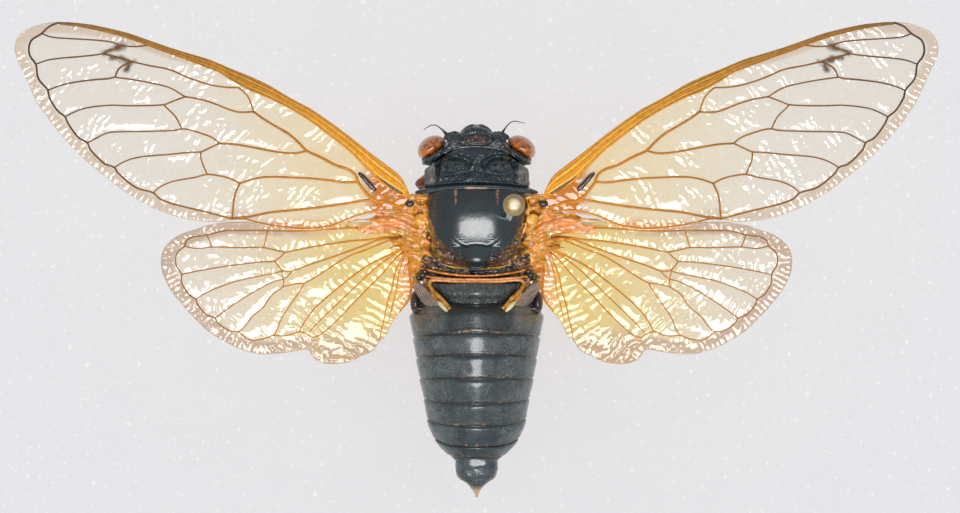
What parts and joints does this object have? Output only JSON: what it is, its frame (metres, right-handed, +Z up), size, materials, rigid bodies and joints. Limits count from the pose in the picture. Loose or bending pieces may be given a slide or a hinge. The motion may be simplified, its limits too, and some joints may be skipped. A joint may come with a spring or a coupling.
{
  "type": "pinned periodical cicada specimen",
  "caption": "Life-size male periodical cicada with spread veined wings and red eyes, held on an insect pin over a pale rigid board.",
  "frame": {"origin": "middle of the pinning board's underside", "axes": "+X to the insect's right along the wingspan, +Y towards its head, +Z up out of its back"},
  "size_m": [0.092, 0.056, 0.0393],
  "materials": {
    "cuticle_black": "blue-black shell with a faint grey bloom",
    "cuticle_amber": "reddish amber shell",
    "eye_red": "polished orange red with dark mottling",
    "wing_membrane": "clear crinkled membrane between amber veins",
    "tymbal_film": "thin ribbed grey-brown film",
    "pin_steel": "bright drawn steel wire",
    "pin_nylon": "pale cream nylon of the pin's round head",
    "foam_pale": "pale fine-celled rigid board"
  },
  "bodies": {
    "root": {"head": "cuticle_black", "eye_left": "eye_red", "eye_right": "eye_red", "antenna_left": "cuticle_black", "antenna_right": "cuticle_black", "rostrum": "cuticle_amber", "pronotum": "cuticle_black", "mesonotum": "cuticle_black", "metanotum": "cuticle_black", "thorax": "cuticle_black", "tymbal_left": "tymbal_film", "tymbal_right": "tymbal_film", "operculum_left": "cuticle_amber", "operculum_right": "cuticle_amber", "abdomen": "cuticle_black", "pygofer": "cuticle_amber", "foreleg_left": "cuticle_amber", "foreleg_right": "cuticle_amber", "midleg_left": "cuticle_amber", "midleg_right": "cuticle_amber", "hindleg_left": "cuticle_amber", "hindleg_right": "cuticle_amber", "forewing_left": "wing_membrane", "forewing_right": "wing_membrane", "hindwing_left": "wing_membrane", "hindwing_right": "wing_membrane", "stand_pin": "pin_steel", "stand_base": "foam_pale"}
  },
  "joints": []
}
